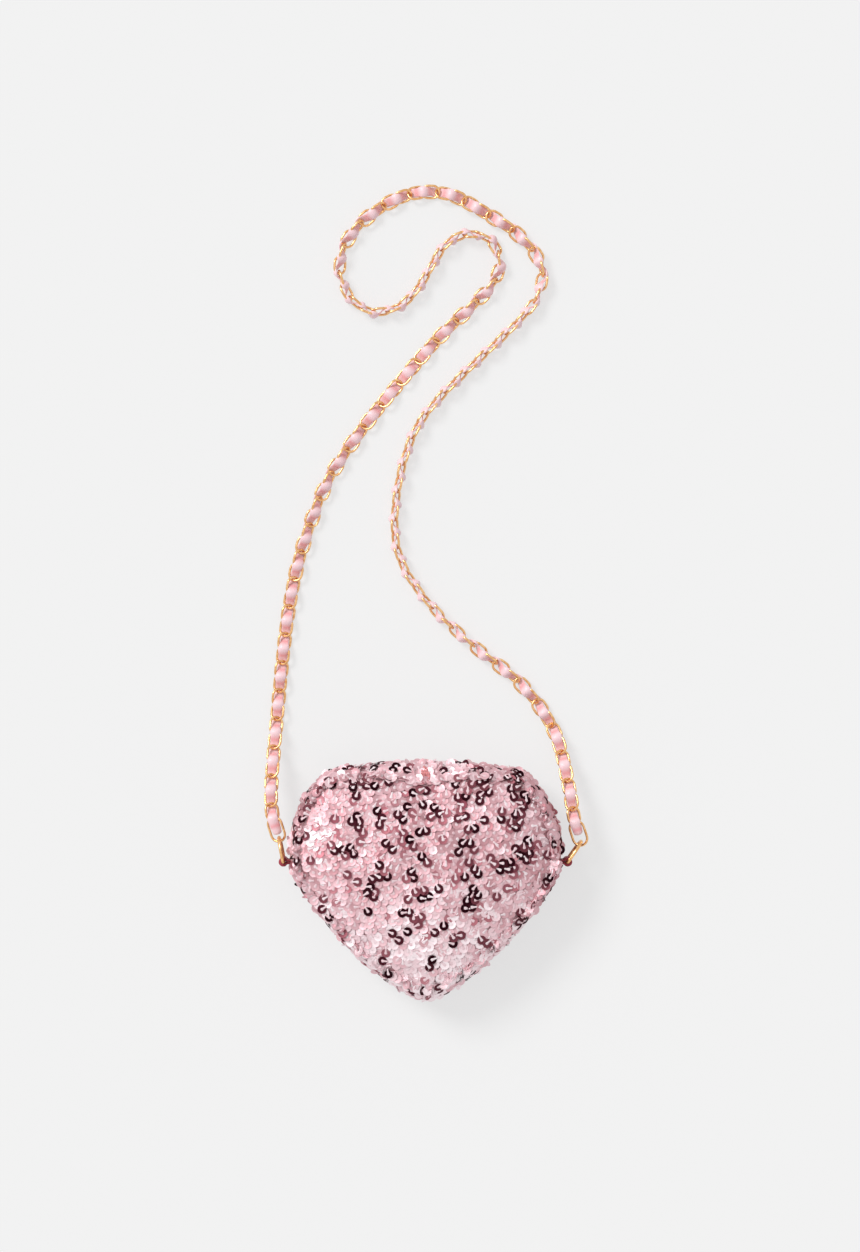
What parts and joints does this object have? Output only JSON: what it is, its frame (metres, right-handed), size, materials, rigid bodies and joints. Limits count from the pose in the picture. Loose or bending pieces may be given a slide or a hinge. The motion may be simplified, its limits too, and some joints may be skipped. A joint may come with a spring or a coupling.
{
  "type": "heart shaped purse",
  "caption": "Heart shaped padded fabric purse with a zip in its top edge, D-rings on cloth side tabs and a long chain shoulder strap laced with a flat ribbon.",
  "frame": {"origin": "on the flat middle of the back, which the purse lies on, midway between the heart's tip and its top edge", "axes": "+Z out of the front, +Y from the tip to the zipped top edge and on to the laid out strap, +X to the right seen from the front"},
  "size_m": [0.1676, 0.4237, 0.042],
  "materials": {
    "sequin_fabric": "pale pink cloth covered in shiny round sequins",
    "foam": "matt foam wadding",
    "lining": "smooth satin weave",
    "zip_tape": "matt woven tape",
    "zip_coil": "satin",
    "gold_metal": "polished pale gold plating",
    "tab_cloth": "dark pink cloth",
    "strap_ribbon": "soft pink imitation leather"
  },
  "bodies": {
    "bag": {"front_panel": "sequin_fabric", "back_panel": "sequin_fabric", "gusset_lower": "sequin_fabric", "gusset_top_front": "sequin_fabric", "gusset_top_back": "sequin_fabric", "padding_front": "foam", "padding_back": "foam", "padding_lower": "foam", "lining_front": "lining", "lining_back": "lining", "lining_lower": "lining", "lining_top_front": "lining", "lining_top_back": "lining", "zip_tape_front": "zip_tape", "zip_tape_back": "zip_tape", "zip_teeth_front": "zip_coil", "zip_teeth_back": "zip_coil", "zip_top_stops": "gold_metal", "zip_bottom_stop": "gold_metal", "strap_tab_left": "tab_cloth", "strap_tab_right": "tab_cloth", "strap_end_links": "gold_metal", "chain_left_run": "gold_metal", "chain_inner_loop": "gold_metal", "chain_outer_loop": "gold_metal", "chain_right_run": "gold_metal", "strap_ribbon": "strap_ribbon"},
    "slider": {"zip_slider": "gold_metal"},
    "pull": {"zip_pull": "gold_metal"},
    "left_ring": {"ring_left": "gold_metal"},
    "right_ring": {"ring_right": "gold_metal"}
  },
  "joints": [
    {"name": "zip_slide", "type": "hinge", "parent": "bag", "child": "slider", "pos_m": [0, -0.198, 0.0165], "axis": [0, 0, 1], "range_deg": [0, 14.6]},
    {"name": "pull_flip", "type": "hinge", "parent": "slider", "child": "pull", "pos_m": [0.03693, 0.05799, 0.0165], "axis": [0, 0, -1], "range_deg": [0, 150]},
    {"name": "left_ring_swing", "type": "hinge", "parent": "bag", "child": "left_ring", "pos_m": [-0.0732, 0.01, 0.0195], "axis": [0, 0, 1], "range_deg": [-3, 4]},
    {"name": "right_ring_swing", "type": "hinge", "parent": "bag", "child": "right_ring", "pos_m": [0.0732, 0.01, 0.0195], "axis": [0, 0, 1], "range_deg": [0, 10]}
  ]
}
